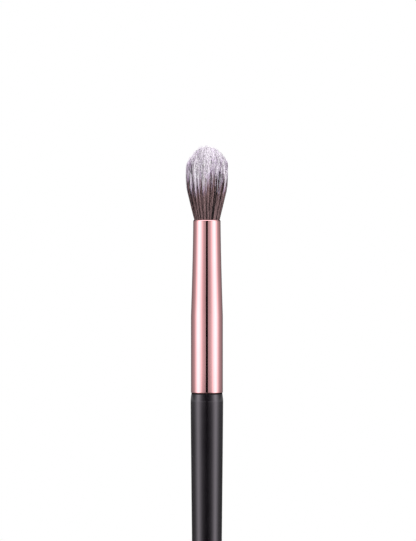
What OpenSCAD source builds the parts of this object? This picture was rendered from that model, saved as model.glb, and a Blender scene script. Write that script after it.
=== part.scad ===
// Eyeshadow blending brush: a turned handle, a drawn ferrule and a domed tuft of fine filaments.
// Z runs up the brush from the tip of the handle's butt, and every length is in millimetres.

/* [Ferrule] */
// Length of the ferrule, from its lower rim to its mouth
ferrule_len = 40.6; // [38:0.2:48]
// Outer diameter of the straight barrel that grips the handle
ferrule_d = 7.5; // [6.8:0.1:9]
// Length of the straight barrel
barrel_len = 18; // [16.5:0.5:21]
// Outer diameter at the mouth
mouth_d = 6.44; // [5.6:0.02:7.4]
// Wall of the drawn tube
ferrule_wall = 0.22; // [0.16:0.01:0.35]
// How the taper above the barrel eases out towards the mouth: 1 is a straight cone
neck_power = 1.4; // [1:0.1:2]
// Height of the rounded lip at the mouth
lip_r = 0.3; // [0.1:0.02:0.4]
// Rounding of the lower rim
rim_r = 0.15; // [0.04:0.01:0.18]

/* [Handle] */
// Length of the handle that shows, from its butt to the ferrule
handle_len = 117.3; // [90:0.5:150]
// How far the handle stands proud of the ferrule at its fattest
handle_swell = 0.08; // [0:0.02:0.4]
// Diameter of the butt where its dome starts
butt_d = 5.1; // [4:0.1:7]
// Height of the butt's dome
butt_dome = 2.4; // [1:0.1:4]
// Height of the rounded shoulder under the ferrule
shoulder_len = 1.9; // [0.8:0.1:4]
// How far the shoulder rounds in where the ferrule seats
shoulder_drop = 0.24; // [0.1:0.02:0.26]
// How the taper gathers towards the butt: 1 is a straight cone
taper_power = 1.15; // [1:0.05:1.6]

/* [Tenon] */
// Length of the tenon inside the ferrule
tenon_len = 16; // [10:0.5:18]
// Thickness of the adhesive between the tenon and the ferrule
glue_gap = 0.15; // [0.08:0.01:0.25]
// Number of glue grooves turned in the tenon
groove_count = 4; // [0:1:6]
// Width of a glue groove
groove_w = 0.9; // [0.5:0.1:1.4]
// Depth of a glue groove
groove_depth = 0.25; // [0.1:0.05:0.6]
// Chamfer on the tenon's nose
nose_chamfer = 0.6; // [0.2:0.1:1.2]

/* [Tuft] */
// Length of the tuft that shows above the mouth
tuft_len = 17.1; // [13:0.1:24]
// Diameter of the tuft at its belly
belly_d = 9.6; // [8:0.1:12]
// Height of the belly above the mouth
belly_height = 11.2; // [7:0.1:13]
// How pointed the dome is: 0.5 is a half ellipse, and more is sharper
dome_power = 0.6; // [0.5:0.05:0.8]
// Rings of strands round the middle one, each with six more than the last
strand_rings = 11; // [9:1:12]
// How far a strand's tip may stray from the dome
tip_scatter = 0.55; // [0:0.05:1]
// Gap between the tuft and the ferrule's throat
throat_gap = 0.05; // [0.02:0.01:0.1]

/* [Root] */
// Depth of the strands' seat on their root bundle, below the mouth
seat_depth = 1.4; // [1:0.1:2.5]
// How much narrower the strands lie at their seat than at the mouth
root_gather = 0.32; // [0.2:0.02:0.5]
// Margin of the root bundle round its outermost strands
bundle_margin = 0.1; // [0.05:0.01:0.16]
// Depth of the root bundle's lower end, below the mouth
bundle_depth = 11.5; // [10:0.5:14]
// Depth of the epoxy's upper face, below the mouth
epoxy_depth = 3.6; // [3:0.1:6]
// Thickness of the epoxy under the bundle
epoxy_floor = 1.4; // [0.8:0.1:2.5]
// Depth of the middle of the binding, below the mouth
binding_depth = 8.6; // [7.5:0.1:9.5]
// Diameter of the binding thread
thread_d = 0.3; // [0.2:0.02:0.36]
// Turns of the binding thread
thread_turns = 5; // [3:1:7]
// Gap that keeps bonded pieces from running into each other
bond_gap = 0.02; // [0.01:0.01:0.04]

/* [Hidden] */
$fn = 96;

taper_step_count = 10;
handle_step_count = 14;
arc_step_count = 6;
strand_sides = 3;
strand_seed = 7;
// Turn from one ring of strands to the next, so that they leave no straight lanes
ring_turn_share = 0.382;
dome_round_count = 14;
// What the outermost strands keep clear of the spread, as a share of the rings' pitch
edge_share = 0.5;
lattice_rings = strand_rings + edge_share;
// How much of its own thickness each turn of the thread lies above the last
thread_lay_share = 0.9;
// Half of a strand's pitch is the most that it may fill before it meets its neighbour
strand_fill_share = 0.43;
// How far the strands lean in between the belly and the tip of the dome
lean_share = 0.3;
// Where a strand's rings lie between its seat and its tip: few inside the tuft, more where they show
inner_ring_shares = [0, 0.56, 0.86];
outer_ring_shares = [0, 0.36, 0.68, 0.9];
outer_rings = 2;

rim_z = handle_len;
mouth_z = rim_z + ferrule_len;
barrel_z = rim_z + barrel_len;
lip_z = mouth_z - lip_r;
barrel_bore_r = ferrule_d / 2 - ferrule_wall;
throat_r = mouth_d / 2 - ferrule_wall;
handle_r = ferrule_d / 2 + handle_swell;
shoulder_z = rim_z - shoulder_len;
tenon_r = barrel_bore_r - glue_gap;
tenon_top_z = rim_z + tenon_len;
groove_pitch = tenon_len / (groove_count + 1);
tuft_throat_r = throat_r - throat_gap;
tuft_seat_r = tuft_throat_r - root_gather;
bundle_r = tuft_seat_r + bundle_margin;
bundle_top_z = mouth_z - seat_depth;
bundle_low_z = mouth_z - bundle_depth;
epoxy_top_z = mouth_z - epoxy_depth;
epoxy_low_z = bundle_low_z - epoxy_floor;
binding_z = mouth_z - binding_depth;
thread_pitch = thread_d * thread_lay_share;
binding_h = (thread_turns - 1) * thread_pitch + thread_d;
waist_r = bundle_r - thread_d;

// The ferrule's outside as [height, radius], from the lower rim to the lip
ferrule_line = concat(
    [[rim_z, ferrule_d / 2]],
    [for (i = [0 : taper_step_count])
        let (t = i / taper_step_count)
        [barrel_z + (lip_z - barrel_z) * t, mouth_d / 2 + (ferrule_d - mouth_d) / 2 * pow(1 - t, neck_power)]]
);
// The bore as [height, radius], a wall inside that line and on to the mouth
bore_line = concat(
    [for (p = ferrule_line) [p[0], p[1] - ferrule_wall]],
    [[mouth_z, throat_r]]
);
function bore_at(z) = lookup(z, bore_line);
function turned(line) = [for (p = line) [p[1], p[0]]];
function reversed(list) = [for (i = [len(list) - 1 : -1 : 0]) list[i]];
// The bore between two heights, drawn in by a gap
function bore_between(low, high, gap) = concat(
    [[bore_at(low) - gap, low]],
    [for (p = bore_line) if (p[0] > low && p[0] < high) [p[1] - gap, p[0]]],
    [[bore_at(high) - gap, high]]
);

module ferrule() {
    round_r = min(lip_r, ferrule_wall);
    color("#c98f8d") rotate_extrude()
        polygon(concat(
            [for (i = [0 : arc_step_count])
                let (a = 90 * i / arc_step_count)
                [ferrule_d / 2 - rim_r * (1 - sin(a)), rim_z + rim_r * (1 - cos(a))]],
            [for (i = [1 : len(ferrule_line) - 1]) [ferrule_line[i][1], ferrule_line[i][0]]],
            [for (i = [1 : arc_step_count])
                let (a = 90 * i / arc_step_count)
                [mouth_d / 2 - round_r * (1 - cos(a)), lip_z + lip_r * sin(a)]],
            reversed(turned(bore_line))
        ));
}

function handle_line_r(s) = handle_r - (handle_r - butt_d / 2) * pow(s, taper_power);

// The tenon's outline from the seat up, grown by a gap all round
function tenon_outline(gap) = concat(
    [[tenon_r + gap, rim_z]],
    [for (i = [1 : 1 : groove_count])
        let (z = rim_z + i * groove_pitch, half = groove_w / 2 - gap, r = tenon_r - groove_depth + gap)
        each [[tenon_r + gap, z - half], [r, z - half], [r, z + half], [tenon_r + gap, z + half]]],
    [[tenon_r + gap, tenon_top_z - nose_chamfer]]
);

module handle() {
    color("#1c1a1c") rotate_extrude()
        polygon(concat(
            [[0, 0]],
            [for (i = [1 : arc_step_count])
                let (a = 90 * i / arc_step_count)
                [butt_d / 2 * sin(a), butt_dome * (1 - cos(a))]],
            [for (i = [1 : handle_step_count])
                let (t = i / handle_step_count)
                [handle_line_r(1 - t), butt_dome + (shoulder_z - butt_dome) * t]],
            [for (i = [1 : arc_step_count])
                let (a = 90 * i / arc_step_count)
                [handle_r - shoulder_drop * (1 - cos(a)), shoulder_z + shoulder_len * sin(a)]],
            tenon_outline(0),
            [[tenon_r - nose_chamfer, tenon_top_z], [0, tenon_top_z]]
        ));
}

module tenon_glue() {
    color("#d8cfae") rotate_extrude()
        polygon(concat(
            tenon_outline(bond_gap),
            [[barrel_bore_r - bond_gap, tenon_top_z - nose_chamfer], [barrel_bore_r - bond_gap, rim_z]]
        ));
}

// The bundle of roots, with the waist that the thread draws in, grown by a gap all round
function bundle_outline(gap) = [
    [0, bundle_low_z - gap],
    [bundle_r + gap, bundle_low_z - gap],
    [bundle_r + gap, binding_z - binding_h / 2],
    [waist_r + gap, binding_z - binding_h / 2 + thread_d],
    [waist_r + gap, binding_z + binding_h / 2 - thread_d],
    [bundle_r + gap, binding_z + binding_h / 2],
    [bundle_r + gap, bundle_top_z],
    [0, bundle_top_z]
];

module binding_thread() {
    color("#efe6d2") rotate_extrude()
        difference() {
            union() {
                for (i = [0 : thread_turns - 1])
                    translate([waist_r + thread_d / 2, binding_z + (2 * i + 1 - thread_turns) * thread_pitch / 2])
                        circle(d = thread_d, $fn = 24);
            }
            polygon(bundle_outline(bond_gap));
        }
}

module root_epoxy() {
    color("#b9a98a") rotate_extrude()
        difference() {
            polygon(concat(
                [[0, epoxy_low_z]],
                bore_between(epoxy_low_z, epoxy_top_z, bond_gap),
                [[0, epoxy_top_z]]
            ));
            polygon(bundle_outline(bond_gap));
        }
}

// The outermost radius that the strands reach at a height above the mouth, as they run on to the tip
function spread(h) =
    h < 0 ? tuft_throat_r + root_gather * h / seat_depth
    : h < belly_height
    ? tuft_throat_r + (belly_d / 2 - tuft_throat_r) * sin(90 * h / belly_height)
    : belly_d / 2 * (1 - lean_share * pow((h - belly_height) / (tuft_len - belly_height), 2));

// The square of the way from belly to tip at which a strand that keeps this share of the spread
// meets the dome, found by a few rounds of the same step
function dome_meet(share, rounds, x) =
    rounds <= 0 ? x : dome_meet(share, rounds - 1, 1 - pow(share * (1 - lean_share * x), 1 / dome_power));
function dome_height(share) =
    belly_height + (tuft_len - belly_height) * sqrt(dome_meet(share, dome_round_count, 1 - share));

function strand_rings_at(ring) = ring > strand_rings - outer_rings ? outer_ring_shares : inner_ring_shares;

// One strand for each place of the lattice: [ring, angle, tip height, twist]
strand_total = 1 + 3 * strand_rings * (strand_rings + 1);
strays = rands(-1, 1, strand_total, strand_seed);
twists = rands(0, 360 / strand_sides, strand_total, strand_seed + 1);
strands = [for (ring = [0 : strand_rings])
    for (j = [0 : max(6 * ring, 1) - 1])
        let (
            n = ring == 0 ? 0 : 3 * ring * (ring - 1) + 1 + j,
            share = ring / lattice_rings,
            tip = dome_height(share) - tip_scatter * abs(strays[n])
        )
        [ring, 360 * (j / max(6 * ring, 1) + ring * ring_turn_share), tip, twists[n]]];

function strand_points(s) = let (
        shares = strand_rings_at(s[0]),
        place = s[0] / lattice_rings,
        fill = strand_fill_share / lattice_rings
    )
    concat(
        [for (k = [0 : len(shares) - 1])
            let (h = -seat_depth + shares[k] * (s[2] + seat_depth), r = spread(h))
            for (i = [0 : strand_sides - 1])
                let (a = s[3] + i * 360 / strand_sides)
                [r * (place * cos(s[1]) + fill * cos(a)), r * (place * sin(s[1]) + fill * sin(a)), mouth_z + h]],
        [[spread(s[2]) * place * cos(s[1]), spread(s[2]) * place * sin(s[1]), mouth_z + s[2]]]
    );

function strand_faces(rings, o) = let (n = strand_sides, last = rings - 1)
    concat(
        [[for (i = [0 : n - 1]) o + i]],
        [for (k = [0 : 1 : last - 1]) for (i = [0 : n - 1])
            let (a = o + k * n + i, b = o + k * n + (i + 1) % n)
            each [[a, b + n, b], [a, a + n, b + n]]],
        [for (i = [0 : n - 1]) [o + last * n + i, o + rings * n, o + last * n + (i + 1) % n]]
    );

function running_sum(list, i = 0, sum = 0) = i == len(list) ? [] :
    concat([sum], running_sum(list, i + 1, sum + list[i]));

module strand_mass() {
    counts = [for (s = strands) len(strand_rings_at(s[0]))];
    starts = running_sum([for (c = counts) c * strand_sides + 1]);
    polyhedron(
        points = [for (s = strands) each strand_points(s)],
        faces = [for (i = [0 : len(strands) - 1]) each strand_faces(counts[i], starts[i])]
    );
}

module bristles() {
    color("#6b5a5e") {
        rotate_extrude() polygon(bundle_outline(0));
        translate([0, 0, -bond_gap]) strand_mass();
    }
}

handle();
tenon_glue();
ferrule();
root_epoxy();
binding_thread();
bristles();
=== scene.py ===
"""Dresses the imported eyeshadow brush: a lacquered handle, a polished ferrule and a two-tone tuft."""

from __future__ import annotations

import logging
import math
from dataclasses import dataclass, field
from enum import Enum
from typing import Any, Callable, ClassVar, Mapping, Sequence, Union

import bpy
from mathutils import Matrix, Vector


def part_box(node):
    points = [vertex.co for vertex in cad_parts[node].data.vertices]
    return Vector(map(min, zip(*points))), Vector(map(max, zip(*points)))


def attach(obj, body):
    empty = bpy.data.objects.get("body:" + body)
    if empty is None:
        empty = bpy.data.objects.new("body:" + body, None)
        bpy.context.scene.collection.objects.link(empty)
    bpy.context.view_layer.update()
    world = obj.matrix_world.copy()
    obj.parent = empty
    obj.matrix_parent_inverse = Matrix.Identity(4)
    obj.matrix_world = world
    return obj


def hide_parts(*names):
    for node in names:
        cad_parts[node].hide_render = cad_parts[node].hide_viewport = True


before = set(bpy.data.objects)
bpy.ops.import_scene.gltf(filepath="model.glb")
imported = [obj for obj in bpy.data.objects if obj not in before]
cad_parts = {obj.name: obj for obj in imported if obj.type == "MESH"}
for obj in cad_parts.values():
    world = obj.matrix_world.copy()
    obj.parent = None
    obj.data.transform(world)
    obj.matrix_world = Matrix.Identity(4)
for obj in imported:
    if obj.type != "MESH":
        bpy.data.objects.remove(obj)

LOG = logging.getLogger("eyeshadow_brush")
MM = 0.001
BODY = "root"
WHITE = (1.0, 1.0, 1.0)

# The filaments' map: which filament across, and how near its tip up. The tip is at TIP_MARK, and the
# map's height stands for TIP_SPAN. Over its width the filaments turn light and dark BANDS times; the dark is
# painted shade between locks.
SURFACE_MAP = "OFBake"
TIP_MARK = 0.995
TIP_SPAN = 20.0 * MM
BANDS = 50.0

Colour = tuple[float, float, float]
Point = tuple[float, float]
Socket = bpy.types.NodeSocket
Node = bpy.types.Node
Piece = bpy.types.Object


def operator(kind: str, turned: bool = False) -> Callable[[Term, Feed], Term]:
    """Makes an operator of Term out of a Math node's operation.

    Args:
        kind: the node's operation.
        turned: whether the term is the second of the two numbers.

    Returns:
        The operator's method.
    """

    def apply(term: Term, other: Feed) -> Term:
        """Joins the term and the other number in one Math node."""
        return term.net.math(kind, *((other, term) if turned else (term, other)))

    return apply


class Term:
    """A number inside a node tree, so that its maths reads as Python."""

    __add__, __radd__ = operator("ADD"), operator("ADD", turned=True)
    __sub__, __rsub__ = operator("SUBTRACT"), operator("SUBTRACT", turned=True)
    __mul__, __rmul__ = operator("MULTIPLY"), operator("MULTIPLY", turned=True)
    __truediv__, __rtruediv__ = operator("DIVIDE"), operator("DIVIDE", turned=True)
    __pow__ = operator("POWER")

    def __init__(self, net: Net, socket: Socket) -> None:
        """Wraps an output socket of a tree."""
        self.net = net
        self.socket = socket

    def __neg__(self) -> Term:
        """Changes the sign."""
        return self.net.math("MULTIPLY", self, -1.0)

    def __abs__(self) -> Term:
        """Drops the sign."""
        return self.net.math("ABSOLUTE", self)


Feed = Union[Term, Socket, float, int, str, bool, tuple, bpy.types.Material, None]
Key = Union[str, int]
Sockets = Mapping[Key, Feed]


class Net:
    """Builds the nodes of one tree."""

    def __init__(self, tree: bpy.types.NodeTree) -> None:
        """Takes the tree to build in."""
        self.tree = tree

    @staticmethod
    def pick(sockets: Any, key: Key) -> Socket:
        """Finds the socket of a number, or the first one in use of a name."""
        named = (s for s in sockets if s.name == key and s.enabled)
        return sockets[key] if isinstance(key, int) else next(named)

    def feed(self, socket: Socket, value: Feed) -> None:
        """Links or sets one input.

        Args:
            socket: the input.
            value: a number in the tree, a socket, or a plain value; None leaves it alone.
        """
        if isinstance(value, Term):
            value = value.socket
        if isinstance(value, Socket):
            self.tree.links.new(value, socket)
        elif value is not None:
            if isinstance(value, tuple) and len(value) == 3 and socket.type == "RGBA":
                value = (*value, 1.0)
            socket.default_value = value

    def fill(self, node: Node, values: Sockets) -> None:
        """Links or sets the inputs of a node, by name or number."""
        for key, value in values.items():
            self.feed(self.pick(node.inputs, key), value)

    def node(self, kind: str, sockets: Sockets | None = None, **settings: Any) -> Node:
        """Adds one node.

        Args:
            kind: the node's type.
            sockets: what its inputs get, by name or number.
            settings: its properties, set first.

        Returns:
            The node.
        """
        made = self.tree.nodes.new(kind)
        for name, value in settings.items():
            setattr(made, name, value)
        self.fill(made, sockets or {})
        return made

    def out(self, kind: str, sockets: Sockets | None = None, output: Key = 0, **settings: Any) -> Socket:
        """Adds one node and gives one of its outputs."""
        return self.pick(self.node(kind, sockets, **settings).outputs, output)

    def term(self, *values: Any, **settings: Any) -> Term:
        """Does what out does, and gives the output as a number."""
        return Term(self, self.out(*values, **settings))

    def math(self, kind: str, *values: Feed) -> Term:
        """Adds one Math node of an operation and gives its result."""
        return self.term("ShaderNodeMath", dict(enumerate(values)), operation=kind)

    def at_least(self, value: Feed, low: Feed) -> Term:
        """Gives a number, or the lowest that it may be."""
        return self.math("MAXIMUM", value, low)

    def at_most(self, value: Feed, high: Feed) -> Term:
        """Gives a number, or the highest that it may be."""
        return self.math("MINIMUM", value, high)

    @staticmethod
    def off_axis(x: Term, y: Term) -> Term:
        """Gives how far a point lies from the brush's axis."""
        return (x * x + y * y) ** 0.5

    def join(self, x: Feed, y: Feed, z: Feed) -> Socket:
        """Makes a vector of three numbers."""
        return self.out("ShaderNodeCombineXYZ", {0: x, 1: y, 2: z})

    def split(self, vector: Feed) -> tuple[Term, ...]:
        """Takes a vector apart into its three numbers."""
        made = self.node("ShaderNodeSeparateXYZ", {0: vector})
        return tuple(Term(self, socket) for socket in made.outputs)

    def blend(self, factor: Feed, first: Feed, second: Feed, kind: str = "RGBA") -> Socket:
        """Mixes two colours, or two values of another kind, by a factor."""
        sockets = {"Factor": factor, "A": first, "B": second}
        return self.out("ShaderNodeMix", sockets, "Result", data_type=kind)

    def ease(self, value: Feed, low: Feed, high: Feed, start: Feed = 0.0, end: Feed = 1.0) -> Term:
        """Maps a number's range, low to high, on to start to end, with soft ends."""
        sockets = {"Value": value, "From Min": low, "From Max": high, "To Min": start, "To Max": end}
        return self.term("ShaderNodeMapRange", sockets, "Result", interpolation_type="SMOOTHSTEP")

    def noise(self, where: Feed, scale: float, detail: float, rough: float = 0.5) -> Term:
        """Adds a noise in space and gives its grey value."""
        sockets = {"Vector": where, "Scale": scale, "Detail": detail, "Roughness": rough}
        return self.term("ShaderNodeTexNoise", sockets)


class Finish:
    """A surface finish, which builds its material once."""

    name: str

    def dress(self, net: Net, shader: Node) -> None:
        """Feeds the shader.

        Args:
            net: the material's tree.
            shader: its Principled shader.
        """
        raise NotImplementedError

    def material(self) -> bpy.types.Material:
        """Gives the finish's material.

        Returns:
            The material, built the first time that it is asked for.
        """
        made = bpy.data.materials.get(self.name)
        if made is None:
            made = bpy.data.materials.new(self.name)
            made.use_nodes = True
            net = Net(made.node_tree)
            self.dress(net, self.find(net, "BSDF_PRINCIPLED"))
        return made

    @staticmethod
    def find(net: Net, kind: str) -> Node:
        """Finds the tree's first node of a type."""
        return next(n for n in net.tree.nodes if n.type == kind)

    @staticmethod
    def object_place(net: Net) -> Socket:
        """Gives the point on the piece, in metres from the row's origin."""
        return net.node("ShaderNodeTexCoord").outputs["Object"]

    @staticmethod
    def stretched(net: Net, place: Feed, across: float, along: float) -> Socket:
        """Scales a place across the brush and along it."""
        scale = (across, across, along)
        return net.out("ShaderNodeVectorMath", {0: place, 1: scale}, operation="MULTIPLY")

    @staticmethod
    def bump(net: Net, height: Feed, depth: float) -> Socket:
        """Makes a normal from a height from 0 to 1, and the metres that 1 stands for."""
        return net.out("ShaderNodeBump", {"Strength": 1.0, "Distance": depth, "Height": height})


@dataclass(frozen=True)
class BlackLacquer(Finish):
    """Satin black lacquer up to the ferrule's rim, a painted shadow in the recess there, and bare wood above
    it.
    """

    rim_z: float
    gap_r: float
    gap_h: float
    name: str = "black_lacquer"
    black: Colour = (0.0060, 0.0050, 0.0064)
    worn: Colour = (0.0072, 0.0062, 0.0077)
    wood: Colour = (0.52, 0.36, 0.21)
    dark_wood: Colour = (0.36, 0.22, 0.11)
    # Near-black colour in the recess under the ferrule's rim: painted shadow, not the lacquer's colour.
    painted_recess_shadow: Colour = (0.002, 0.002, 0.002)
    tint: Colour = (0.98, 0.86, 1.0)
    cloud_scale: float = 160.0
    grain_scale: Point = (1500.0, 60.0)
    peel_scale: float = 2300.0
    peel_depth: float = 0.0005 * MM
    gloss: Point = (0.10, 0.14)
    coat: float = 0.5
    coat_gloss: float = 0.04
    refraction: float = 1.62

    def dress(self, net: Net, shader: Node) -> None:
        """Feeds the shader with lacquer below the rim and wood above it."""
        place = self.object_place(net)
        cloud = net.noise(place, self.cloud_scale, 3.0)
        grain = net.noise(self.stretched(net, place, *self.grain_scale), 1.0, 4.0, 0.6)
        peel = net.noise(place, self.peel_scale, 2.0, 0.4)
        x, y, z = net.split(place)
        bare = net.ease(z, self.rim_z + 0.3 * MM, self.rim_z + 0.7 * MM)
        # Just below the rim, inside the recess: a near-black band whose reflection a black metal turns off,
        # painted shadow of the gap under the ferrule.
        inside = net.ease(net.off_axis(x, y), self.gap_r, self.gap_r - 0.06 * MM)
        gap_z = self.rim_z - self.gap_h
        painted_gap_shadow = inside * net.ease(z, gap_z - 0.25 * MM, gap_z) * (1.0 - bare)
        lacquer = net.blend(net.ease(cloud, 0.35, 0.7), self.black, self.worn)
        timber = net.blend(net.ease(grain, 0.35, 0.65), self.dark_wood, self.wood)
        gloss = net.ease(cloud + 0.2 * grain, 0.4, 0.8, *self.gloss)
        net.fill(shader, {
            "Base Color": net.blend(bare, net.blend(painted_gap_shadow, lacquer, self.painted_recess_shadow), timber),
            "Roughness": gloss + 0.4 * bare + 0.8 * painted_gap_shadow,
            "Metallic": painted_gap_shadow,
            "Coat Weight": self.coat * (1.0 - bare) * (1.0 - painted_gap_shadow),
            "Coat Roughness": self.coat_gloss,
            "IOR": self.refraction,
            "Specular Tint": self.tint,
            "Normal": self.bump(net, peel + 0.35 * grain, self.peel_depth),
        })


@dataclass(frozen=True)
class PinkGold(Finish):
    """Polished, pink-gold anodised metal with faint drawing lines along the tube."""

    name: str = "pink_gold"
    pink: Colour = (0.80, 0.43, 0.445)
    deep: Colour = (0.77, 0.40, 0.415)
    cloud_scale: float = 120.0
    line_scale: Point = (5200.0, 70.0)
    line_depth: float = 0.0003 * MM
    gloss: Point = (0.04, 0.08)

    def dress(self, net: Net, shader: Node) -> None:
        """Feeds the shader."""
        place = self.object_place(net)
        cloud = net.noise(place, self.cloud_scale, 2.0)
        lines = net.noise(self.stretched(net, place, *self.line_scale), 1.0, 3.0, 0.6)
        tone = net.ease(cloud * 0.5 + lines * 0.5, 0.3, 0.7)
        net.fill(shader, {
            "Base Color": net.blend(tone, self.deep, self.pink),
            "Metallic": 1.0,
            "Roughness": net.ease(lines, 0.3, 0.75, *self.gloss),
            "Normal": self.bump(net, lines, self.line_depth),
        })


@dataclass(frozen=True)
class DyedFilament(Finish):
    """Dark mauve-brown filament, dyed pale lilac for some way down from each tip. Its dark bands are painted
    shade between locks: near black at the roots, faint at the tips.

    A wave is how often a value comes and goes over the map, and where it starts.
    """

    name: str = "dyed_filament"
    # The near-black root colour is painted shade in the gaps between locks, not the filament's own colour.
    root_painted_gap_shade: Colour = (0.003, 0.0015, 0.002)
    root_light: Colour = (0.30, 0.189, 0.193)
    # Mauve below the pale tip: partly the dye's own gradient, partly painted shade lower in the tuft.
    mauve: Colour = (0.69, 0.53, 0.76)
    tip_dark: Colour = (0.92, 0.84, 0.96)
    tip_light: Colour = (1.0, 0.97, 1.0)
    dyed: float = 4.75 * MM
    least: float = 3.4 * MM
    fading: float = 2.5 * MM
    softness: float = 0.7 * MM
    lock_stray: float = 0.5 * MM
    wisp_stray: float = 3.6 * MM
    single_stray: float = 1.1 * MM
    # Painted shade: the roots darken from this far below the tip down to the mouth, by up to the share below.
    foot: Point = (9.5 * MM, 13.5 * MM)
    mouth_painted_shade: float = 0.14
    wisp_wave: Point = (BANDS, -2.67)
    lock_wave: Point = (1.7, 0.6)
    single_wave: Point = (500.0, 4.0)
    lock_line: Point = (6.3, 1.3)
    wisp_line: Point = (31.0, 0.7)
    single_line: Point = (430.0, 3.1)

    @staticmethod
    def ripple(net: Net, place: Feed, wave: Point) -> Term:
        """Turns a place across the map into a wave's number from -1 to 1."""
        return net.math("SINE", place * (math.tau * wave[0]) + wave[1])

    def dress(self, net: Net, shader: Node) -> None:
        """Feeds the shader from the map: which filament across, and how near its tip up."""
        across, up, _ = net.split(net.out("ShaderNodeUVMap", uv_map=SURFACE_MAP))
        below_tip = (TIP_MARK - up) * TIP_SPAN
        wisp = self.ripple(net, across, self.wisp_wave)
        lock = self.ripple(net, across, self.lock_wave)
        single = 0.3 * self.ripple(net, across, self.single_wave)
        shade = net.ease(wisp, -1.0, 0.2, 0.0, 0.92) + single
        # At the roots the dark bands and locks take the near-black colour: painted shade between locks.
        deep = net.ease(wisp + 0.5 * lock, -0.45, 0.55, 0.0, 1.25) + 0.1 * wisp + single
        # Painted shade at the tuft's foot: darker towards the mouth.
        deep = deep - net.ease(below_tip, *self.foot, 0.0, self.mouth_painted_shade)
        by_lock = self.lock_stray * self.ripple(net, across, self.lock_line)
        # The dye line follows the band, so the dark, shaded bands are dyed shorter and their painted shade
        # reaches higher.
        by_wisp = self.wisp_stray * (0.55 * wisp + 0.45 * self.ripple(net, across, self.wisp_line))
        by_single = self.single_stray * self.ripple(net, across, self.single_line)
        line = self.dyed + net.at_least(by_lock + by_wisp, self.least - self.dyed) + by_single
        dyed = net.ease(below_tip, line + self.softness, line - self.softness)
        root = net.blend(deep, self.root_painted_gap_shade, self.root_light)
        pale = net.blend(shade, self.tip_dark, self.tip_light)
        # Fades from mauve up to the pale tip: partly dye gradient, partly painted shade lower in the tuft.
        tip = net.blend(net.ease(below_tip, line, line - self.fading), self.mauve, pale)
        net.fill(shader, {
            "Base Color": net.blend(dyed, root, tip),
            "Roughness": 0.5 - 0.1 * shade,
            "Specular IOR Level": 0.25,
        })


@dataclass(frozen=True)
class GluedRoots(Finish):
    """The cut and glued end of the filaments, seen down between them."""

    name: str = "glued_roots"
    resin: Colour = (0.055, 0.036, 0.038)
    ends: Colour = (0.150, 0.105, 0.112)
    cell_scale: float = 9000.0
    cell_squash: float = 0.06
    depth: float = 0.02 * MM

    def dress(self, net: Net, shader: Node) -> None:
        """Feeds the shader."""
        place = self.stretched(net, self.object_place(net), 1.0, self.cell_squash)
        cells = net.term("ShaderNodeTexVoronoi", {"Vector": place, "Scale": self.cell_scale}, "Distance")
        ends = net.ease(cells, 0.55, 0.2)
        net.fill(shader, {
            "Base Color": net.blend(ends, self.resin, self.ends),
            "Roughness": 0.6 - 0.15 * ends,
            "Normal": self.bump(net, ends, self.depth),
        })


@dataclass(frozen=True)
class CuredResin(Finish):
    """Cured glue or casting resin, slightly cloudy."""

    name: str
    clear: Colour
    cloudy: Colour
    gloss: float
    cloud_scale: float = 700.0
    skin_scale: float = 2600.0
    depth: float = 0.01 * MM

    def dress(self, net: Net, shader: Node) -> None:
        """Feeds the shader."""
        place = self.object_place(net)
        cloud = net.noise(place, self.cloud_scale, 3.0)
        skin = net.noise(place, self.skin_scale, 1.0)
        net.fill(shader, {
            "Base Color": net.blend(net.ease(cloud, 0.35, 0.65), self.clear, self.cloudy),
            "Roughness": net.ease(cloud, 0.3, 0.7, self.gloss, self.gloss + 0.15),
            "Normal": self.bump(net, skin, self.depth),
        })


@dataclass(frozen=True)
class WaxedThread(Finish):
    """Pale waxed thread with its twist, darker in the valleys between plies: painted shade."""

    name: str = "waxed_thread"
    pale: Colour = (0.80, 0.75, 0.62)
    shade: Colour = (0.50, 0.44, 0.33)
    lays_round: float = 60.0
    lays_up: float = 14.0 / MM
    depth: float = 0.02 * MM

    def dress(self, net: Net, shader: Node) -> None:
        """Feeds the shader with the lay of the thread's plies round the bundle."""
        x, y, z = net.split(self.object_place(net))
        turn = net.math("ARCTAN2", y, x)
        ply = net.math("SINE", turn * self.lays_round + z * self.lays_up)
        # The darker colour in the valleys between plies is painted shade, not a second colour of thread.
        lay = net.ease(ply, -1.0, 1.0)
        net.fill(shader, {
            "Base Color": net.blend(lay, self.shade, self.pale),
            "Roughness": 0.7 - 0.15 * lay,
            "Normal": self.bump(net, lay, self.depth),
        })


@dataclass(frozen=True)
class PaleFloor(Finish):
    """A plain pale floor that runs out to the white of the background."""

    name: str = "pale_floor"
    pale: Colour = (0.72, 0.72, 0.72)
    fleck: Colour = (0.74, 0.74, 0.74)
    fleck_scale: float = 90.0
    near: float = 0.20
    far: float = 0.44

    def dress(self, net: Net, shader: Node) -> None:
        """Feeds the shader, and blends it to the background's white far from the brush."""
        place = self.object_place(net)
        x, y, _ = net.split(place)
        speck = net.ease(net.noise(place, self.fleck_scale, 3.0), 0.3, 0.7)
        net.fill(shader, {"Base Color": net.blend(speck, self.pale, self.fleck), "Roughness": 0.75})
        white = net.out("ShaderNodeEmission", {"Color": WHITE, "Strength": 1.0})
        rays = net.node("ShaderNodeLightPath").outputs
        mirrored = net.at_least(rays["Is Glossy Ray"], rays["Is Transmission Ray"])
        seen = net.at_least(rays["Is Camera Ray"], mirrored)
        away = net.ease(net.off_axis(x, y), self.near, self.far)
        both = net.out("ShaderNodeMixShader", {0: away * seen, 1: shader.outputs[0], 2: white})
        net.feed(self.find(net, "OUTPUT_MATERIAL").inputs[0], both)


class SocketKind(Enum):
    """What a tree's named input holds."""

    SHAPE = "NodeSocketGeometry"
    NUMBER = "NodeSocketFloat"
    COUNT = "NodeSocketInt"
    FINISH = "NodeSocketMaterial"


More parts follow.
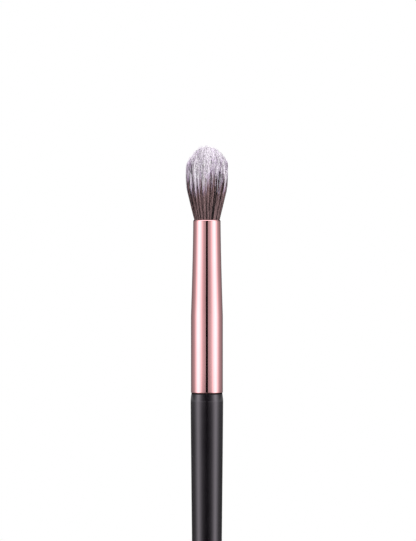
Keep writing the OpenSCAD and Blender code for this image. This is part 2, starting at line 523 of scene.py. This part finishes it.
class Maker:
    """A Geometry Nodes tree with named inputs, which makes plain mesh pieces."""

    name = "maker"
    inputs: dict[str, SocketKind] = {}

    def __init__(self) -> None:
        """Builds the tree."""
        self.tree = bpy.data.node_groups.new(self.name, "GeometryNodeTree")
        self.tree.is_modifier = True
        self.keys: dict[str, str] = {}
        new_socket = self.tree.interface.new_socket
        for label, kind in {"Shape": SocketKind.SHAPE, **self.inputs, "Finish": SocketKind.FINISH}.items():
            socket = new_socket(name=label, in_out="INPUT", socket_type=kind.value)
            self.keys[label] = socket.identifier
        new_socket(name="Shape", in_out="OUTPUT", socket_type=SocketKind.SHAPE.value)
        self.net = Net(self.tree)
        self.given = self.net.node("NodeGroupInput").outputs
        made = self.net.out("GeometryNodeRealizeInstances", {0: self.form()})
        sockets = {"Geometry": made, "Material": self.given["Finish"]}
        self.net.node("NodeGroupOutput", {0: self.net.out("GeometryNodeSetMaterial", sockets)})

    def number(self, label: str) -> Term:
        """Gives one of the tree's named inputs as a number."""
        return Term(self.net, self.given[label])

    def index(self) -> Term:
        """Gives each element's own number."""
        return self.net.term("GeometryNodeInputIndex")

    def position(self) -> Socket:
        """Gives each element's place."""
        return self.net.out("GeometryNodeInputPosition")

    def place_of(self, shape: Feed, index: Feed) -> Socket:
        """Gives the place of the point of a shape that has a number."""
        sockets = {"Geometry": shape, "Value": self.position(), "Index": index}
        return self.net.out("GeometryNodeSampleIndex", sockets, "Value", data_type="FLOAT_VECTOR")

    def form(self) -> Socket:
        """Builds the nodes that make the shape.

        Returns:
            The shape's socket.
        """
        raise NotImplementedError

    def make(self, name: str, start: bpy.types.Mesh, values: Mapping[str, float], finish: Finish) -> Piece:
        """Makes one piece.

        Args:
            name: the piece's name.
            start: the mesh that the tree starts from.
            values: the tree's named inputs.
            finish: the piece's finish.

        Returns:
            The piece, a plain mesh with no modifier.
        """
        piece = bpy.data.objects.new(name, start)
        bpy.context.scene.collection.objects.link(piece)
        modifier = piece.modifiers.new(self.name, "NODES")
        modifier.node_group = self.tree
        for label, value in {**values, "Finish": finish.material()}.items():
            modifier[self.keys[label]] = value
        graph = bpy.context.evaluated_depsgraph_get()
        source = piece.evaluated_get(graph)
        mesh = bpy.data.meshes.new_from_object(source, preserve_all_data_layers=True, depsgraph=graph)
        piece.modifiers.remove(modifier)
        piece.data = mesh
        mesh.name = name
        mesh.materials.clear()
        mesh.materials.append(finish.material())
        mesh.polygons.foreach_set("material_index", [0] * len(mesh.polygons))
        return piece


class Lathe(Maker):
    """Turns a profile round the brush's axis."""

    name = "lathe"
    inputs = {"Facets": SocketKind.COUNT}
    merge = 0.5e-6

    def form(self) -> Socket:
        """Bends a grid round the axis, one column a facet and one row a profile point."""
        net = self.net
        profile = self.given["Shape"]
        rows = net.term("GeometryNodeAttributeDomainSize", {0: profile}, "Point Count", component="MESH")
        facets = self.number("Facets")
        grid = net.out("GeometryNodeMeshGrid", {"Vertices X": facets + 1.0, "Vertices Y": rows})
        index = self.index()
        column = net.math("FLOOR", (index + 0.5) / rows)
        radius, _, height = net.split(self.place_of(profile, index - column * rows))
        turn = column / facets * math.tau
        bent = net.join(radius * net.math("COSINE", turn), radius * net.math("SINE", turn), height)
        moved = net.out("GeometryNodeSetPosition", {"Geometry": grid, "Position": bent})
        return net.out("GeometryNodeMergeByDistance", {"Geometry": moved, "Distance": self.merge})

    def turn(
        self, name: str, profile: Sequence[Point], finish: Finish, facets: int = 144, crease: float = 40.0
    ) -> Piece:
        """Turns one piece.

        Args:
            name: the piece's name.
            profile: its (radius, height) points, up the outside and down the inside.
            finish: its finish.
            facets: how many facets go round.
            crease: the angle in degrees from which an edge stays sharp.

        Returns:
            The piece.
        """
        start = bpy.data.meshes.new(name + "_profile")
        edges = [(i, i + 1) for i in range(len(profile) - 1)]
        start.from_pydata([(r, 0.0, z) for r, z in profile], edges, [])
        piece = self.make(name, start, {"Facets": facets}, finish)
        piece.data.shade_smooth()
        piece.data.set_sharp_from_angle(angle=math.radians(crease))
        return piece


@dataclass(frozen=True)
class TuftShape:
    """How the tuft swells from the mouth to its belly and closes in its dome."""

    throat_r: float = 2.95 * MM
    belly_r: float = 4.80 * MM
    belly_height: float = 11.2 * MM
    length: float = 17.1 * MM
    dome_power: float = 0.6
    lean: float = 0.3
    seat_depth: float = 1.4 * MM
    gather: float = 0.32 * MM

    def up_dome(self, net: Net, height: Term) -> Term:
        """Gives how far up the dome a height lies, from 0 at the belly to 1 at the apex."""
        return net.at_least(height - self.belly_height, 0.0) / (self.length - self.belly_height)

    def spread(self, net: Net, height: Term) -> Term:
        """Gives the tuft's outer radius, as its filaments run on, at a height above the mouth.

        Args:
            net: the tree.
            height: the height above the mouth.

        Returns:
            The radius.
        """
        below = net.at_most(height, 0.0)
        rise = net.at_least(net.at_most(height / self.belly_height, 1.0), 0.0)
        swell = net.math("SINE", rise * (math.pi / 2)) * (self.belly_r - self.throat_r)
        above = self.up_dome(net, height)
        radius = self.throat_r + below * (self.gather / self.seat_depth) + swell
        return radius - above * above * (self.lean * self.belly_r)

    def outline(self, net: Net, height: Term) -> Term:
        """Gives the dome's radius at a height above the mouth, and the belly's below it."""
        above = self.up_dome(net, height)
        return self.belly_r * net.at_least(1.0 - above * above, 0.02) ** self.dome_power

    def dome(self, net: Net, share: Term) -> Term:
        """Gives the height at which a filament that keeps a share of the spread meets the dome.

        Args:
            net: the tree.
            share: the filament's share of the spread, from 0 to 1.

        Returns:
            The height above the mouth.
        """
        rise = 1.0 - share
        for _ in range(7):
            rise = 1.0 - net.at_least(share * (1.0 - self.lean * rise), 0.0) ** (1.0 / self.dome_power)
        return self.belly_height + (self.length - self.belly_height) * net.at_least(rise, 0.0) ** 0.5


class FilamentPlanter(Maker):
    """Plants tapered filaments on the root bundle and gathers them into clumps.

    Wisps, finer than clumps, share how high their tips stand. Shreds, finer again, share a shade.
    """

    name = "filament_planter"
    inputs = {
        **dict.fromkeys(("Filaments", "Clumps", "Steps", "Seed"), SocketKind.COUNT),
        **dict.fromkeys(("Inner share", "Outer share", "Mouth height"), SocketKind.NUMBER),
        **dict.fromkeys(("Thickness", "Clump pull", "Tip scatter", "Wander"), SocketKind.NUMBER),
    }
    vectors = ("root", "middle", "sway")
    numbers = ("reach", "tone", "room", "undyed", "flare")
    others = ("strand", "way", "up", "side")
    golden_turn = math.pi * (3.0 - math.sqrt(5.0))
    wisps_a_clump, shreds_a_clump = 1.8, 7.0
    # The map: sectors round the tuft, and the width of a filament's side, a wisp and a shred.
    sectors, side_width, wisp_width, shred_width = 56.0, 0.0006, 0.35, 0.002
    # The tips: unevenness in mm at the heart and towards the rim, and what it scales.
    uneven_heart, uneven_rim, lock_size, spike_size, spike_power = 0.06, 1.04, 2.4, 3.2, 8.0
    # The lean: a filament's own stray, and the parts of its shred and its clump.
    stray_least, stray_size, stray_power, shred_sway, clump_sway = 0.2, 2.0, 7.0, 0.45, 0.5
    # The lie, by height above the mouth or by the length left above a point.
    bulge, bulge_foot, bulge_top = 0.03, (4.0 * MM, 7.5 * MM), (13.0 * MM, 10.0 * MM)
    flare_size, flare_left, flare_foot = 0.16, (4.5 * MM, 0.5 * MM), (9.5 * MM, 12.5 * MM)
    tip_pull, tip_pull_left, undyed_most = 0.35, 3.5 * MM, 2.1 * MM
    tuck, most, crowding, taper, tip_girth = 0.38, 4.92 * MM, 0.6, 2.4 * MM, 0.3

    def __init__(self, shape: TuftShape) -> None:
        """Takes the tuft's shape and builds the tree."""
        self.shape = shape
        super().__init__()

    def chance(self, salt: int, index: Feed = None, low: float = 0.0, high: float = 1.0) -> Term:
        """Gives each point, or each index given, a random number. The salt tells one use from another."""
        sockets = {"Min": low, "Max": high, "ID": index, "Seed": self.number("Seed") + float(salt)}
        return self.net.term("FunctionNodeRandomValue", sockets, "Value", data_type="FLOAT")

    def keep(self, shape: Feed, label: str, value: Feed, kind: str = "FLOAT", on: str = "POINT") -> Socket:
        """Stores a value on the shape under a name and gives the shape."""
        sockets = {"Geometry": shape, "Name": label, "Value": value}
        return self.net.out("GeometryNodeStoreNamedAttribute", sockets, data_type=kind, domain=on)

    def kept(self, label: str, kind: str = "FLOAT") -> Term:
        """Reads a value that was stored under a name."""
        return self.net.term("GeometryNodeInputNamedAttribute", {"Name": label}, "Attribute", data_type=kind)

    def disc(self, count: Term, inner: Feed, outer: Feed, jitter: float, salt: int) -> Socket:
        """Spreads points evenly over a ring of the unit disc.

        Args:
            count: how many.
            inner: the ring's inner radius.
            outer: its outer radius.
            jitter: how far a point may stray, as a share of the mean spacing.
            salt: tells one use from another.

        Returns:
            The points.
        """
        net = self.net
        index = self.index()
        inner_sq, outer_sq = inner * inner, outer * outer
        radius = (inner_sq + (outer_sq - inner_sq) * (index + 0.5) / count) ** 0.5
        turn = index * self.golden_turn + salt
        stray = jitter / count ** 0.5
        across = radius * net.math("COSINE", turn) + stray * self.chance(salt + 1, low=-1.0)
        away = radius * net.math("SINE", turn) + stray * self.chance(salt + 2, low=-1.0)
        return net.out("GeometryNodePoints", {"Count": count, "Position": net.join(across, away, 0.0)})

    def groups(self, a_clump: float, salt: int) -> tuple[Socket, Term]:
        """Spreads the middles of one kind of group, and finds each filament's group.

        Args:
            a_clump: how many groups there are for each clump.
            salt: tells one kind from another.

        Returns:
            The place of the group's middle, and the group's number.
        """
        middles = self.disc(self.number("Clumps") * a_clump, 0.0, 1.0, 0.9, salt)
        sockets = {"Geometry": middles, "Sample Position": self.position()}
        number = self.net.term("GeometryNodeSampleNearest", sockets, domain="POINT")
        return self.place_of(middles, number), number

    def plant(self) -> Socket:
        """Plants a point for each filament, with what its lie and its shade go by.

        Its tone is its place across the map: the light or the dark half of a band, by turns; the dark half is
        painted shade between locks.

        Returns:
            The points.
        """
        net, chance = self.net, self.chance
        ring = self.number("Inner share"), self.number("Outer share")
        planted = self.disc(self.number("Filaments"), *ring, 0.8, 11)
        clump_place, clump = self.groups(1.0, 23)
        wisp_place, wisp = self.groups(self.wisps_a_clump, 29)
        _, shred = self.groups(self.shreds_a_clump, 113)
        root = self.position()
        x, y, _ = net.split(root)
        share = net.at_most(net.off_axis(x, y), 0.995)

        uneven = (self.uneven_heart + self.uneven_rim * share * share) * MM
        fuller = net.ease(share, 0.1, 0.45, 0.1 * MM, 0.4 * MM) - net.ease(share, 0.5, 0.86, 0.0, 1.1 * MM)
        fuller = fuller + net.ease(share, 0.88, 1.0, 0.0, 0.4 * MM)
        cloud = net.noise(net.join(x, y, self.number("Seed") * 0.37), 4.5, 1.0)
        locks = (cloud - 0.5) * self.lock_size * uneven
        short = self.number("Tip scatter") * chance(31) ** 1.6
        spike = uneven * (chance(37, wisp) ** self.spike_power * self.spike_size - 0.5)
        reach = self.shape.dome(net, share) + fuller + locks - short + spike

        turn = net.math("ARCTAN2", y, x) * (self.sectors / math.tau)
        cloud = net.noise(net.join(x, y, self.number("Seed") * 0.53), 5.0, 1.0)
        sector = turn + cloud + 0.3 * chance(103, wisp)
        # Every other sector is the dark half of a band: painted shade between locks.
        half = net.math("FLOOR", net.math("FLOORED_MODULO", sector, 2.0))
        band = net.math("FLOOR", chance(41, clump, high=43.0)) + net.math("FLOOR", chance(79, wisp, high=5.0))
        band = band + 0.5 * half + self.wisp_width * chance(107, wisp)
        tone = band / BANDS + chance(43, shred, high=self.shred_width)

        stray = chance(47) ** self.stray_power * self.stray_size + self.stray_least
        sway = [
            chance(own, low=-1.0) * stray
            + chance(by_shred, shred, -self.shred_sway, self.shred_sway)
            + self.clump_sway * chance(by_clump, clump, -1.0)
            + chance(by_wisp, wisp, -1.0)
            for own, by_shred, by_clump, by_wisp in ((53, 127, 67, 89), (59, 131, 71, 97))
        ]
        middle = net.blend(0.2, wisp_place, clump_place, "VECTOR")
        for label, value in zip(self.vectors, (root, middle, net.join(*sway, chance(61, high=math.tau)))):
            planted = self.keep(planted, label, value, "FLOAT_VECTOR")
        room = 0.97 + 0.06 * chance(73, clump)
        undyed = net.ease(share, 0.45, 0.92, 0.0, self.undyed_most)
        flare = chance(83, wisp) ** 5.0 * self.flare_size
        for label, value in zip(self.numbers, (reach, tone, room, undyed, flare)):
            planted = self.keep(planted, label, value)
        return self.keep(planted, "strand", self.index(), "INT")

    def lie(self, height: Term, left: Term) -> Socket:
        """Gives where a filament's point lies: spread to the belly, gathered, and closed in the dome.

        Args:
            height: the point's height above the mouth.
            left: how much of the filament is left above it.

        Returns:
            The place.
        """
        net = self.net
        free = net.ease(height, -0.6 * MM, 4.0 * MM) * net.ease(height, 0.0, 15.0 * MM, 0.7, 1.0)
        drift = net.at_least(height, 0.0) / self.shape.length
        root, middle, sway = (net.split(self.kept(label, "FLOAT_VECTOR")) for label in self.vectors)
        pull = (self.number("Clump pull") + self.tip_pull * net.ease(left, self.tip_pull_left, 0.0)) * free
        bulge = self.bulge * net.ease(height, *self.bulge_foot) * net.ease(height, *self.bulge_top)
        spread = self.shape.spread(net, height) * (1.0 + bulge)
        wander = self.number("Wander") * drift
        wave = net.math("SINE", drift * 7.0 + sway[2]) * 0.25 * drift
        x = spread * (root[0] + (middle[0] - root[0]) * pull) + wander * (sway[0] + wave)
        y = spread * (root[1] + (middle[1] - root[1]) * pull) + wander * (sway[1] - wave)
        room = (self.kept("room") - 1.0) * net.ease(height, 4.0 * MM, 9.0 * MM)
        away = net.at_least(net.off_axis(x, y), 0.01 * MM)
        flare = self.kept("flare") * net.ease(left, *self.flare_left)
        flare = 1.0 + flare * net.ease(height, *self.flare_foot)
        wide = net.at_most(away, spread * (1.0 + room))
        beyond = net.at_least(wide - self.shape.outline(net, height), 0.0)
        wide = (wide - self.tuck * beyond) * flare
        shrink = net.at_most(wide, self.most) / away
        return net.join(x * shrink, y * shrink, self.number("Mouth height") + height)

    def form(self) -> Socket:
        """Plants the points, strings a line on each, lays it and sweeps a mapped filament along it."""
        net, steps = self.net, self.number("Steps")
        sockets = {"Geometry": self.plant(), "Amount": steps + 1.0}
        rows = net.node("GeometryNodeDuplicateElements", sockets, domain="POINT").outputs
        points = self.keep(rows["Geometry"], "way", Term(net, rows["Duplicate Index"]) / steps)
        way, strand = self.kept("way"), self.kept("strand", "INT")
        sockets = {"Points": points, "Curve Group ID": strand, "Weight": way}
        lines = net.out("GeometryNodePointsToCurves", sockets)
        up = way * (1.0 + self.crowding - self.crowding * way)
        seat = self.shape.seat_depth
        height = up * (self.kept("reach") + seat) - seat
        left = self.kept("reach") - height
        laid = net.out("GeometryNodeSetPosition", {"Geometry": lines, "Position": self.lie(height, left)})
        girth = self.tip_girth + (1.0 - self.tip_girth) * net.ease(left, 0.0, self.taper)
        ring = net.out("GeometryNodeCurvePrimitiveCircle", {"Resolution": 3, "Radius": 1.0}, mode="RADIUS")
        tubes = net.out("GeometryNodeCurveToMesh", {
            "Curve": self.keep(laid, "up", TIP_MARK - (left + self.kept("undyed")) / TIP_SPAN),
            "Profile Curve": self.keep(ring, "side", self.index()),
            "Scale": self.number("Thickness") * 0.5 * girth,
            "Fill Caps": True,
        })
        across = self.kept("tone") + self.kept("side") * self.side_width
        mapped = self.keep(tubes, SURFACE_MAP, net.join(across, self.kept("up"), 0.0), "FLOAT2", "CORNER")
        return net.out("GeometryNodeSetShadeSmooth", {"Geometry": mapped, "Shade Smooth": True})

    def clear(self, piece: Piece) -> None:
        """Drops what the tree stored on a piece, apart from its map."""
        for label in self.vectors + self.numbers + self.others:
            stored = piece.data.attributes.get(label)
            if stored is not None:
                piece.data.attributes.remove(stored)


def fit(piece: Piece, slot: str, *nodes: str) -> None:
    """Puts a finished piece on the frame.

    Args:
        piece: the piece.
        slot: the record's material slot; not used.
        nodes: the CAD nodes that it stands for.
    """
    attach(piece, BODY)
    if nodes:
        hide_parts(*nodes)
    triangles = sum(len(p.vertices) - 2 for p in piece.data.polygons)
    LOG.info("%s: %d triangles", piece.name, triangles)


def repaint(node: str, finish: Finish) -> None:
    """Gives a CAD node a finish.

    Args:
        node: the node's name.
        finish: the finish.
    """
    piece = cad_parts[node]
    piece.data.materials.clear()
    piece.data.materials.append(finish.material())
    LOG.info("%s: %s", node, finish.name)


def arc(steps: int) -> list[Point]:
    """Gives a quarter turn as (sine, 1 - cosine) pairs, one for each step."""
    angles = [math.pi / 2 * i / steps for i in range(1, steps + 1)]
    return [(math.sin(a), 1.0 - math.cos(a)) for a in angles]


@dataclass
class Handle:
    """The turned handle, with the tenon that its glue holds in the ferrule."""

    lathe: Lathe
    rim_z: float
    swell_r: float = 3.83 * MM
    butt_r: float = 2.55 * MM
    butt_dome: float = 2.4 * MM
    taper_power: float = 1.15
    taper_steps: int = 40
    shoulder_len: float = 1.9 * MM
    shoulder_drop: float = 0.20 * MM
    shoulder_kink: float = 0.07
    arc_steps: int = 14
    gap_r: float = 3.62 * MM
    gap_h: float = 0.20 * MM
    gap_top: float = 0.08 * MM
    tenon_r: float = 3.38 * MM
    tenon_len: float = 16.0 * MM
    nose: float = 0.6 * MM
    grooves: int = 4
    groove_w: float = 0.9 * MM
    groove_depth: float = 0.25 * MM

    def profile(self) -> list[Point]:
        """Draws the handle from its butt to the tenon's nose.

        Returns:
            The (radius, height) points.
        """
        shoulder_z = self.rim_z - self.shoulder_len
        line = [(0.0, 0.0)]
        line += [(self.butt_r * s, self.butt_dome * c) for s, c in arc(self.arc_steps)]
        for i in range(1, self.taper_steps + 1):
            t = i / self.taper_steps
            drop = (self.swell_r - self.butt_r) * (1.0 - t) ** self.taper_power
            line.append((self.swell_r - drop, self.butt_dome + (shoulder_z - self.butt_dome) * t))
        line.insert(-1, (self.swell_r, shoulder_z - 0.12 * MM))
        shoulder, kink = self.shoulder_len - self.gap_h, self.shoulder_kink * self.shoulder_len
        for i in [0.5] + list(range(1, self.arc_steps + 1)):
            t = i / self.arc_steps * shoulder / self.shoulder_len
            drop = kink * t + (self.shoulder_drop - kink) * t * t
            line.append((self.swell_r - drop, shoulder_z + shoulder * i / self.arc_steps))
        gap_z = self.rim_z + self.gap_top
        line += [(self.gap_r, self.rim_z - self.gap_h), (self.gap_r, gap_z), (self.tenon_r, gap_z)]
        pitch = self.tenon_len / (self.grooves + 1)
        deep = self.tenon_r - self.groove_depth
        for i in range(1, self.grooves + 1):
            low, high = (self.rim_z + i * pitch + side * self.groove_w / 2 for side in (-1, 1))
            line += [(self.tenon_r, low), (deep, low), (deep, high), (self.tenon_r, high)]
        top = self.rim_z + self.tenon_len
        return line + [(self.tenon_r, top - self.nose), (self.tenon_r - self.nose, top), (0.0, top)]

    def build(self) -> None:
        """Makes the handle and dresses the glue."""
        lacquer = BlackLacquer(self.rim_z, self.gap_r + 0.1 * MM, self.gap_h)
        fit(self.lathe.turn("turned_handle", self.profile(), lacquer), "handle_lacquer", "handle")
        glue = CuredResin("tenon_adhesive", (0.62, 0.55, 0.38), (0.74, 0.69, 0.55), 0.35)
        repaint("tenon_glue", glue)


@dataclass
class Ferrule:
    """The drawn metal tube that joins the tuft to the handle."""

    lathe: Lathe
    rim_z: float
    mouth_z: float
    barrel_r: float = 3.75 * MM
    barrel_len: float = 18.0 * MM
    mouth_r: float = 3.22 * MM
    wall: float = 0.22 * MM
    lip: float = 0.3 * MM
    rim: float = 0.03 * MM
    lift: float = 0.04 * MM
    neck_power: float = 1.4
    neck_steps: int = 30
    last_rings: Point = (0.998, 1.0)
    barrel_rings: tuple[float, ...] = (0.005, 0.05, 0.25, 0.5, 0.75, 0.95)

    def profile(self) -> list[Point]:
        """Draws the tube's wall, up the outside and down the bore.

        Returns:
            The (radius, height) points.
        """
        lip_r, lip_z = min(self.lip, self.wall), self.mouth_z - self.lip
        top, wider = self.rim_z + self.barrel_len, self.barrel_r - self.mouth_r
        ways = [i / self.neck_steps for i in range(self.neck_steps)] + list(self.last_rings)
        neck = [(self.mouth_r + wider * (1.0 - t) ** self.neck_power, top + (lip_z - top) * t) for t in ways]
        low = self.rim_z + self.lift
        foot = low + self.rim
        turn = [(0.0, 0.0)] + arc(8)
        line = [(self.barrel_r - self.rim * (1.0 - s), low + self.rim * c) for s, c in turn]
        line += [(self.barrel_r, foot + (neck[0][1] - foot) * t) for t in self.barrel_rings]
        line += neck
        line += [(self.mouth_r - lip_r * c, lip_z + self.lip * s) for s, c in arc(10)]
        line += [(r - self.wall, z) for r, z in reversed(neck)]
        return line + [(self.barrel_r - self.wall, low), line[0]]

    def build(self) -> None:
        """Makes the ferrule."""
        tube = self.lathe.turn("ferrule_tube", self.profile(), PinkGold(), crease=50.0)
        fit(tube, "ferrule_metal", "ferrule")


@dataclass(frozen=True)
class Planting:
    """One layer of the tuft."""

    name: str
    filaments: int
    steps: int
    inner: float
    outer: float
    thickness: float
    scatter: float
    wander: float


@dataclass
class Tuft:
    """The bound and glued tuft."""

    lathe: Lathe
    mouth_z: float
    shape: TuftShape = field(default_factory=TuftShape)
    seed: int = 2
    clumps: int = 220
    pull: float = 0.5
    bundle_r: float = 2.73 * MM
    bundle_depth: float = 11.5 * MM
    binding_depth: float = 8.6 * MM
    thread: float = 0.3 * MM
    binding_h: float = 1.38 * MM
    layers: tuple[Planting, ...] = (
        Planting("tuft_heart", 4600, 6, 0.0, 0.62, 0.08 * MM, 0.9 * MM, 0.6 * MM),
        Planting("tuft_body", 4800, 6, 0.60, 0.86, 0.075 * MM, 1.0 * MM, 0.9 * MM),
        Planting("tuft_mantle", 3800, 8, 0.84, 1.0, 0.07 * MM, 1.1 * MM, 1.1 * MM),
    )

    def bundle(self) -> list[Point]:
        """Draws the glued root bundle with the waist that the thread draws in.

        Returns:
            The (radius, height) points.
        """
        low, top = self.mouth_z - self.bundle_depth, self.mouth_z - self.shape.seat_depth
        middle, half = self.mouth_z - self.binding_depth, self.binding_h / 2
        waist = self.bundle_r - self.thread
        line = [(0.0, low), (self.bundle_r, low), (self.bundle_r, middle - half)]
        line += [(waist, middle - half + self.thread), (waist, middle + half - self.thread)]
        return line + [(self.bundle_r, middle + half), (self.bundle_r, top), (0.0, top)]

    def build(self) -> None:
        """Makes the filaments and their bundle, and dresses what binds them."""
        roots = self.lathe.turn("tuft_roots", self.bundle(), GluedRoots(), facets=72)
        fit(roots, "filament", "bristles")
        planter = FilamentPlanter(self.shape)
        for layer in self.layers:
            values = {
                "Filaments": layer.filaments, "Clumps": self.clumps, "Steps": layer.steps,
                "Seed": self.seed, "Inner share": layer.inner, "Outer share": layer.outer,
                "Mouth height": self.mouth_z, "Thickness": layer.thickness, "Clump pull": self.pull,
                "Tip scatter": layer.scatter, "Wander": layer.wander,
            }
            start = bpy.data.meshes.new(layer.name + "_seed")
            piece = planter.make(layer.name, start, values, DyedFilament())
            planter.clear(piece)
            fit(piece, "filament", "bristles")
        repaint("root_epoxy", CuredResin("root_resin", (0.42, 0.33, 0.20), (0.55, 0.46, 0.32), 0.18))
        repaint("binding_thread", WaxedThread())


@dataclass
class Studio:
    """The floor, the light all round and the camera.

    WALL is how bright the room's wall is in a strip at the brush's level, and FLAGGED above and below
    it, by the angle round from the camera's side. The pairs before them are the heights or angles over
    which one part of the room turns into the next. All are in degrees.
    """

    axis_x: float = 0.258 * MM
    middle_z: float = 146.03 * MM
    frame_h: float = 541 * 0.2351 * MM
    lens: float = 220.0
    sensor: float = 36.0
    clip: Point = (0.01, 50.0)
    floor_r: float = 0.46
    floor_sides: int = 96
    tint: Colour = (1.0, 0.997, 1.0)
    top_light: float = 1.18
    front_light: float = 2.05
    room_light: float = 0.6
    scale: float = 2.4
    strip_foot: Point = (-2.32, -2.22)
    strip_top: Point = (3.9, 3.4)
    brighter: Point = (3.4, 5.0)
    dimmer: Point = (10.0, 16.0)
    wall_foot: Point = (-9.0, -14.0)
    wall_top: Point = (24.0, 38.0)
    front_sides: Point = (110.0, 50.0)
    front_top: Point = (75.0, 50.0)
    WALL: ClassVar[tuple[Point, ...]] = (
        (0.0, 0.0), (7.5, 0.0), (8.5, 0.52), (11.0, 0.57), (18.0, 0.64), (25.0, 0.76), (32.5, 0.97),
        (40.0, 1.35), (47.5, 1.8), (55.5, 2.15), (64.0, 2.32), (72.0, 2.24), (81.0, 1.68), (91.0, 1.04),
        (102.0, 0.62), (114.0, 0.46), (129.0, 0.35), (149.0, 0.22), (168.0, 0.15), (180.0, 0.25),
    )
    FLAGGED: ClassVar[tuple[Point, ...]] = (
        (0.0, 0.0), (9.0, 0.0), (16.0, 0.06), (24.0, 0.16), (31.0, 0.30), (38.0, 0.55), (44.0, 0.85),
        (50.0, 1.2), (56.0, 1.65), (63.0, 2.0), (68.0, 2.0), (74.0, 1.68), (80.0, 1.25), (88.0, 0.82),
        (95.0, 0.5), (103.0, 0.27), (115.0, 0.19), (127.0, 0.12), (168.0, 0.09), (180.0, 0.15),
    )

    def floor(self) -> None:
        """Lays a round table top under the brush."""
        turns = [math.tau * i / self.floor_sides for i in range(self.floor_sides)]
        points = [(self.floor_r * math.cos(a), self.floor_r * math.sin(a), 0.0) for a in turns]
        mesh = bpy.data.meshes.new("studio_floor")
        mesh.from_pydata(points, [], [tuple(range(self.floor_sides))])
        piece = bpy.data.objects.new("studio_floor", mesh)
        bpy.context.scene.collection.objects.link(piece)
        mesh.materials.append(PaleFloor().material())

    def panel(self, net: Net, around: Term, stops: Sequence[Point]) -> Term:
        """Gives how bright the studio's wall is by the angle round from the camera.

        Args:
            net: the world's tree.
            around: the angle from the camera's side, in degrees.
            stops: pairs of an angle and a level.

        Returns:
            The level.
        """
        made = net.node("ShaderNodeValToRGB", {0: around / 180.0})
        elements = made.color_ramp.elements
        while len(elements) < len(stops):
            elements.new(1.0)
        for element, (angle, level) in zip(elements, stops):
            element.position = angle / 180.0
            element.color = (level / self.scale,) * 3 + (1.0,)
        return Term(net, made.outputs[0]) * self.scale

    def light(self) -> None:
        """Lights the brush from above, from the front and from panels all round, but shows only white."""
        world = bpy.data.worlds.new("studio_light")
        bpy.context.scene.world = world
        world.use_nodes = True
        world.node_tree.nodes.clear()
        net = Net(world.node_tree)
        x, y, z = net.split(net.node("ShaderNodeTexCoord").outputs["Generated"])
        around = abs(net.math("ARCTAN2", x, -y)) * (180.0 / math.pi)
        rise = net.math("ARCSINE", z) * (180.0 / math.pi)
        side = self.panel(net, around, self.WALL)
        low = self.panel(net, around, self.FLAGGED)
        strip = net.ease(rise, *self.strip_foot) * net.ease(rise, *self.strip_top)
        low = low * net.ease(rise, *self.brighter, 1.0, 1.25) * net.ease(rise, *self.dimmer, 1.0, 0.7)
        wall = side * strip + low * (1.0 - strip)
        below = net.ease(rise, *self.wall_foot)
        wall = wall * (1.0 - below) + self.room_light * below
        above = net.ease(rise, *self.wall_top)
        front = self.front_light * net.ease(around, *self.front_sides) * net.ease(rise, *self.front_top)
        level = wall * (1.0 - above) + (self.top_light + front) * above
        lit = net.out("ShaderNodeBackground", {"Color": self.tint, "Strength": level})
        white = net.out("ShaderNodeBackground", {"Color": WHITE, "Strength": 1.0})
        seen = net.node("ShaderNodeLightPath").outputs["Is Camera Ray"]
        net.node("ShaderNodeOutputWorld", {0: net.out("ShaderNodeMixShader", {0: seen, 1: lit, 2: white})})

    def camera(self) -> None:
        """Sets the camera level, in front of the brush's upper part."""
        lens = bpy.data.cameras.new("camera")
        lens.lens, lens.sensor_width = self.lens, self.sensor
        lens.clip_start, lens.clip_end = self.clip
        camera = bpy.data.objects.new("camera", lens)
        away = self.frame_h / 2 / (self.sensor / 2 / self.lens)
        camera.location = (self.axis_x, -away, self.middle_z)
        camera.rotation_euler = (math.pi / 2, 0.0, 0.0)
        bpy.context.scene.collection.objects.link(camera)
        bpy.context.scene.camera = camera

    def build(self) -> None:
        """Sets the studio up."""
        self.floor()
        self.light()
        self.camera()
        bpy.context.scene.view_settings.view_transform = "Standard"


def main() -> None:
    """Builds the brush's sub-assemblies in order, then the studio."""
    logging.basicConfig(level=logging.INFO, format="%(name)s: %(message)s")
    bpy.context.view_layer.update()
    rim_z, mouth_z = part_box("ferrule")[0].z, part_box("ferrule")[1].z
    lathe = Lathe()
    Handle(lathe, rim_z).build()
    Ferrule(lathe, rim_z, mouth_z).build()
    Tuft(lathe, mouth_z).build()
    Studio().build()


if __name__ == "__main__":
    main()
